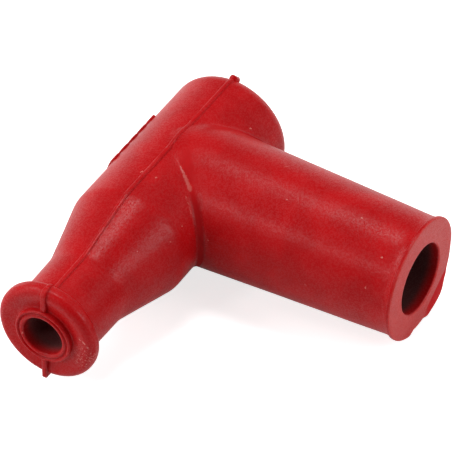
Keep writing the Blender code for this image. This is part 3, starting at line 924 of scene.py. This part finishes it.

# pale grains, scratches and painted glints: start and end from the crossing of the axes, half width,
# strength
paleMarks = (
    ((-0.00810, 0.00020, 0.00939), (-0.00815, 0.00025, 0.00939), 0.00016, 0.9),
    ((-0.00916, 0.00054, 0.00911), (-0.00945, 0.00070, 0.00908), 0.00013, 0.9),
    ((-0.00920, -0.00160, 0.00899), (-0.00905, -0.00175, 0.00896), 0.00014, 0.8),
    ((-0.01219, -0.00759, 0.00509), (-0.01215, -0.00764, 0.00500), 0.00014, 0.6),
    ((-0.01150, -0.00846, 0.00346), (-0.01150, -0.00848, 0.00340), 0.00012, 0.5),
    ((-0.01524, -0.00765, 0.00451), (-0.01520, -0.00768, 0.00445), 0.00012, 0.6),
    ((-0.00965, -0.01026, 0.00172), (-0.00965, -0.01030, 0.00165), 0.00014, 0.6),
    ((-0.02014, -0.00532, 0.00541), (-0.02016, -0.00530, 0.00543), 0.00014, 0.6),
    ((0.00891, -0.00631, 0.00660), (0.00896, -0.00633, 0.00658), 0.00015, 0.8),
    ((-0.00363, -0.01940, 0.00873), (-0.00358, -0.01945, 0.00874), 0.00013, 0.6),
    ((-0.00189, -0.03031, 0.00886), (-0.00185, -0.03036, 0.00886), 0.00016, 0.9),
    ((-0.00555, -0.03554, 0.00693), (-0.00553, -0.03560, 0.00694), 0.00015, 0.9),
    ((-0.00834, -0.03469, 0.00315), (-0.00834, -0.03474, 0.00312), 0.00015, 0.7),
    ((-0.00923, -0.02578, 0.00019), (-0.00923, -0.02585, 0.00016), 0.00013, 0.6),
    ((-0.03649, 0.00321, -0.00072), (-0.03649, 0.00325, -0.00078), 0.00015, 0.8),
    ((0.00140, -0.01610, 0.00948), (0.00180, -0.01650, 0.00940), 0.00010, 0.5),
    ((-0.00713, -0.02797, 0.00574), (-0.00684, -0.02906, 0.00602), 0.00009, 0.12),
    ((-0.00252, -0.02940, 0.00874), (-0.00150, -0.03140, 0.00889), 0.00009, 0.10),
    ((-0.03578, -0.00560, 0.00175), (-0.03581, -0.00615, 0.00165), 0.00017, 0.9),
    ((-0.03581, -0.00615, 0.00165), (-0.03580, -0.00665, 0.00130), 0.00020, 0.9),
    ((-0.03580, -0.00665, 0.00130), (-0.03577, -0.00695, 0.00080), 0.00017, 0.8),
    # the last four are painted highlights along the inner corner's fillet
    ((-0.00510, -0.00319, 0.00864), (-0.00620, -0.00470, 0.00800), 0.00018, 0.35),
    ((-0.00600, -0.00440, 0.00812), (-0.00690, -0.00565, 0.00735), 0.00036, 0.35),
    ((-0.00665, -0.00530, 0.00757), (-0.00715, -0.00595, 0.00713), 0.00040, 0.40),
    ((-0.00850, -0.00610, 0.00680), (-0.00960, -0.00755, 0.00510), 0.00015, 0.35),
)


def fromAxis(tree, across, up):
    square = maths(tree, "ADD", times(tree, across, across), times(tree, up, up))
    return maths(tree, "SQRT", square)


def markMask(tree, position):
    # dust all over and the single pale marks, some of them painted glints, whose edges are ragged
    m = silicone
    mask = useGroup(
        tree, dustSpecks, Position=position, Spacing=m["speckSpacing"], Size=m["speckSize"],
        Share=m["speckShare"],
    ).outputs["Specks"]
    ragged = tree.nodes.new("ShaderNodeTexNoise")
    wire(tree, ragged.inputs["Vector"], position)
    ragged.inputs["Scale"].default_value = m["raggedScale"]
    offset = vectorMaths(tree, "SUBTRACT", ragged.outputs["Color"], Vector((0.5, 0.5, 0.5)))
    warped = vectorMaths(tree, "ADD", position, vectorMaths(tree, "SCALE", offset, m["raggedness"]))
    for start, end, width, strength in paleMarks:
        begin, finish = crossing + Vector(start), crossing + Vector(end)
        mark = useGroup(tree, shortMark, Position=warped, Start=begin, End=finish, Width=width)
        mask = maths(tree, "MAXIMUM", mask, times(tree, mark.outputs["Mask"], strength))
    return mask


def scuffMask(tree, position):
    # chalky scuffs on the flange
    m = silicone
    middle = crossing + m["scuffPlace"]
    near = useGroup(tree, shortMark, Position=position, Start=middle, End=middle, Width=m["scuffReach"])
    patches = ramp(tree, noiseAt(tree, position, m["scuffScale"], 3.0, 0.7), *m["scuffEdge"])
    return times(tree, times(tree, near.outputs["Mask"], patches), m["scuffStrength"])


def mouthMasks(tree, x, y, z):
    # the plug tube was cut off, which leaves its end pale but for a strip of moulded skin
    m = silicone
    end = boot["plugLength"]
    endFace = ramp(tree, y, *(depth - end for depth in m["endEdge"]))
    outwards = minus(tree, times(tree, x, m["stripAcross"]), times(tree, z, m["stripDown"]))
    uncut = times(tree, ramp(tree, outwards, *m["stripEdge"]), ramp(tree, x, *m["stripFade"]))
    strip = times(tree, endFace, uncut)
    return strip, minus(tree, endFace, strip)


def boreShadeMask(tree, distance, along, radius, mouth, fade, farWall):
    # painted shade inside a bore: it gets dark quickly behind its mouth, and the outer wall across from
    # it stays clear
    m = silicone
    inside = ramp(tree, distance, *(radius + margin for margin in m["boreEdge"]))
    deep = ramp(tree, along, *(depth - mouth for depth in fade))
    short = ramp(tree, along, *(farWall - margin for margin in m["boreEnd"]))
    return times(tree, times(tree, inside, deep), short)


def cornerMasks(tree, fromLead, fromPlug):
    # the inner corner's fillet: its soft middle, and nearly all of it
    m = silicone
    offLead = minus(tree, fromLead, boot["leadRadius"])
    offPlug = minus(tree, fromPlug, plugRadius(m["cornerPlace"]))
    farther = maths(tree, "MAXIMUM", offLead, offPlug)
    nearer = maths(tree, "MINIMUM", offLead, offPlug)
    masks = []
    for outer, inner in ((m["cornerOuter"], m["cornerInner"]), (m["filletOuter"], m["filletInner"])):
        held = ramp(tree, farther, *(boot["cornerFillet"] * share for share in outer))
        masks.append(times(tree, held, ramp(tree, nearer, *inner)))
    return masks


def makeSilicone():
    m, b = silicone, boot
    material, tree, shader = newMaterial("redSilicone")
    position = tree.nodes.new("ShaderNodeTexCoord").outputs["Object"]
    grain = useGroup(tree, mouldGrain, Position=position, Fineness=m["grainFineness"])
    mottle = grain.outputs["Mottle"]
    drift = ramp(tree, noiseAt(tree, position, m["driftScale"], 3.0), *m["driftEdge"])
    colour = mixColours(tree, drift, m["deepRed"], m["red"])
    colour = mixColours(tree, scuffMask(tree, position), colour, m["chalk"])
    # dust, scratches and painted highlights all take the same pale colour
    colour = mixColours(tree, markMask(tree, position), colour, m["dustAndGlint"])

    # places are measured from the crossing of the two axes
    x, y, z = (minus(tree, part, middle) for part, middle in zip(splitAxes(tree, position), crossing))
    fromLead, fromPlug = fromAxis(tree, y, z), fromAxis(tree, x, z)
    strip, cut = mouthMasks(tree, x, y, z)
    cutNoise = noiseAt(tree, position, m["cutScale"], 3.0, 0.6)
    cutTone = times(tree, cut, ramp(tree, cutNoise, *m["cutEdge"], *m["cutShare"]))
    colour = mixColours(tree, cutTone, colour, m["cutFace"])
    colour = mixColours(tree, strip, colour, m["stripTone"])
    plugBorePaintedShade = boreShadeMask(
        tree, fromPlug, y, b["plugBoreRadius"], b["plugLength"], m["plugBoreFade"], b["leadRadius"]
    )
    leadBorePaintedShade = boreShadeMask(
        tree, fromLead, x, b["leadBoreRadius"], b["collarFront"], m["leadBoreFade"], b["endLength"]
    )
    # painted shade deep inside the plug bore and the lead bore
    colour = mixColours(tree, plugBorePaintedShade, colour, m["plugBoreShadeTone"])
    colour = mixColours(tree, leadBorePaintedShade, colour, m["leadBoreShadeTone"])
    corner, fillet = cornerMasks(tree, fromLead, fromPlug)
    # painted shade: the inner corner's fillet gets darker towards the bottom
    cornerShade = times(tree, fillet, ramp(tree, z, *m["cornerShadeEdge"]))
    colour = mixColours(tree, cornerShade, colour, m["cornerShadeTone"])
    wire(tree, shader.inputs["Base Color"], colour)

    # the grain's tops shine in flecks, and the inner corner and the strip are dull
    shader.inputs["Specular IOR Level"].default_value = m["specular"]
    shader.inputs["Coat Roughness"].default_value = m["roughness"]
    half = m["roughnessSpread"] / 2
    uneven = ramp(tree, mottle, 0.0, 1.0, m["roughness"] - half, m["roughness"] + half)
    dull = maths(tree, "MAXIMUM", corner, strip)
    duller = times(tree, dull, m["dullRoughness"] - m["roughness"])
    wire(tree, shader.inputs["Roughness"], maths(tree, "ADD", uneven, duller))
    gloss = ramp(tree, dull, 0.0, 1.0, m["fleckGloss"], 0.0)
    wire(tree, shader.inputs["Coat Weight"], times(tree, gloss, mottle))
    addBump(tree, shader, grain.outputs["Height"], m["grainHeight"])
    return material


def makeTurnedSkin():
    # fine lines round a turned piece, and blotches where it has tarnished
    tree, entry, leave = startGroup(
        "turnedSkin",
        (("Position", "NodeSocketVector"), ("Along", "NodeSocketFloat"), ("Pitch", "NodeSocketFloat")),
        (("Lines", "NodeSocketFloat"), ("Tarnish", "NodeSocketFloat")),
    )
    lines = tree.nodes.new("ShaderNodeTexNoise")
    lines.noise_dimensions = "1D"
    turns = maths(tree, "DIVIDE", entry.outputs["Along"], entry.outputs["Pitch"])
    wire(tree, lines.inputs["W"], turns)
    lines.inputs["Scale"].default_value = 1.0
    lines.inputs["Detail"].default_value = 3.0
    wire(tree, leave.inputs["Lines"], lines.outputs["Fac"])
    blotchScale, blotchEdge = 600.0, (0.42, 0.66)
    blotches = noiseAt(tree, entry.outputs["Position"], blotchScale, 4.0, 0.6)
    wire(tree, leave.inputs["Tarnish"], ramp(tree, blotches, *blotchEdge))
    return tree


turnedSkin = makeTurnedSkin()

brass = {
    "metal": (0.72, 0.50, 0.20, 1),
    "dull": (0.40, 0.24, 0.10, 1),
    "roughness": 0.26,
    "dullRoughness": 0.46,
    "linePitch": 0.00009,
    "lineHeight": 0.000006,
    "tarnishShare": 0.6,
    "axis": 1,  # the piece was turned about Y
}

steel = {
    "metal": (0.62, 0.62, 0.60, 1),
    "dull": (0.40, 0.39, 0.36, 1),
    "roughness": 0.24,
    "dullRoughness": 0.42,
    "linePitch": 0.00007,
    "lineHeight": 0.000004,
    "tarnishShare": 0.6,
    "axis": 0,  # and the screw about X
}


def makeMetal(name, settings):
    m = settings
    material, tree, shader = newMaterial(name)
    position = tree.nodes.new("ShaderNodeTexCoord").outputs["Object"]
    along = splitAxes(tree, position)[m["axis"]]
    skin = useGroup(tree, turnedSkin, Position=position, Along=along, Pitch=m["linePitch"])
    tarnish = skin.outputs["Tarnish"]
    share = times(tree, tarnish, m["tarnishShare"])
    wire(tree, shader.inputs["Base Color"], mixColours(tree, share, m["metal"], m["dull"]))
    shader.inputs["Metallic"].default_value = 1.0
    roughness = ramp(tree, tarnish, 0.0, 1.0, m["roughness"], m["dullRoughness"])
    wire(tree, shader.inputs["Roughness"], roughness)
    addBump(tree, shader, skin.outputs["Lines"], m["lineHeight"])
    return material


def placePiece(piece, node, material):
    piece.data.materials.clear()
    piece.data.materials.append(material)
    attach(piece, "root")
    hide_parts(node)
    print(piece.name + ":", len(piece.data.vertices), "vertices")


makeCamera()
print("camera placed")
placePiece(makeBoot(), "boot", makeSilicone())
placePiece(makeTerminal(), "terminal_body", makeMetal("turnedBrass", brass))
steelSkin = makeMetal("platedSteel", steel)
placePiece(makeScrew(), "lead_screw", steelSkin)
placePiece(makeSnapRing(), "snap_ring", steelSkin)


lights = (
    # name, azimuth and elevation of the lamp seen from the cap, distance, width, share of white
    ("topLamp", 28, 78, 0.55, 0.16, 0.385),
    ("backLamp", 110, 42, 0.60, 0.30, 0.47),
    ("rightLamp", -77, 28, 0.60, 0.27, 0.32),
    ("rightFill", -40, 32, 0.80, 1.00, 0.18),
    ("leftLamp", 158, 34, 0.60, 0.09, 0.14),
    ("lowLeftLamp", 130, 12, 0.60, 0.40, 0.25),
    ("lowBackLamp", 60, 9, 0.60, 0.50, 0.13),
    ("lowRightLamp", 10, 10, 0.60, 0.50, 0.17),
)


def makeLights():
    for name, azimuth, elevation, distance, width, share in lights:
        lamp = bpy.data.lights.new(name, "AREA")
        lamp.shape = "SQUARE"
        lamp.size = width
        lamp.energy = share * math.pi**2 * distance**2
        holder = addObject(name, lamp)
        a, e = math.radians(azimuth), math.radians(elevation)
        towards = Vector((math.cos(a) * math.cos(e), math.sin(a) * math.cos(e), math.sin(e)))
        holder.location = crossing + towards * distance
        holder.rotation_mode = "QUATERNION"
        holder.rotation_quaternion = towards.to_track_quat("Z", "Y")


room = {
    "dim": 0.08,  # strength of the room's own light
    "whiteUpTo": 0.02,  # reflections see white low down, and the dim room above
    "dimFrom": 0.16,
}


def makeWorld():
    world = bpy.data.worlds.new("softRoom")
    world.use_nodes = True
    bpy.context.scene.world = world
    tree = world.node_tree
    background = tree.nodes["Background"]
    background.inputs["Color"].default_value = (1, 1, 1, 1)
    rays = tree.nodes.new("ShaderNodeLightPath")
    height = splitAxes(tree, tree.nodes.new("ShaderNodeTexCoord").outputs["Generated"])[2]
    low = ramp(tree, height, room["dimFrom"], room["whiteUpTo"])
    shiny = times(tree, rays.outputs["Is Glossy Ray"], low)
    seen = maths(tree, "MAXIMUM", rays.outputs["Is Camera Ray"], rays.outputs["Is Transmission Ray"])
    white = maths(tree, "MAXIMUM", seen, shiny)
    wire(tree, background.inputs["Strength"], ramp(tree, white, 0.0, 1.0, room["dim"], 1.0))


paleFloor = {
    "size": 2.0,
    "tone": (0.8, 0.8, 0.8, 1),
    "roughness": 0.8,
    "glow": 0.75,  # what the camera sees of it, which lights nothing
    "glowInGloss": 0.22,  # share of it that reflections see
}


def makeFloor():
    f = paleFloor
    bm = bmesh.new()
    bmesh.ops.create_grid(bm, x_segments=1, y_segments=1, size=f["size"])
    mesh = bpy.data.meshes.new("floor")
    bm.to_mesh(mesh)
    bm.free()
    floor = addObject("floor", mesh)
    material, tree, shader = newMaterial("paleFloor")
    shader.inputs["Base Color"].default_value = f["tone"]
    shader.inputs["Roughness"].default_value = f["roughness"]
    shader.inputs["Emission Color"].default_value = (1, 1, 1, 1)
    rays = tree.nodes.new("ShaderNodeLightPath")
    seen = maths(tree, "MAXIMUM", rays.outputs["Is Camera Ray"], rays.outputs["Is Transmission Ray"])
    shiny = times(tree, rays.outputs["Is Glossy Ray"], f["glowInGloss"])
    glow = times(tree, maths(tree, "MAXIMUM", seen, shiny), f["glow"])
    wire(tree, shader.inputs["Emission Strength"], glow)
    mesh.materials.append(material)


makeLights()
makeWorld()
makeFloor()
print("lamps, room and floor placed")

bpy.context.scene.view_settings.view_transform = "Standard"
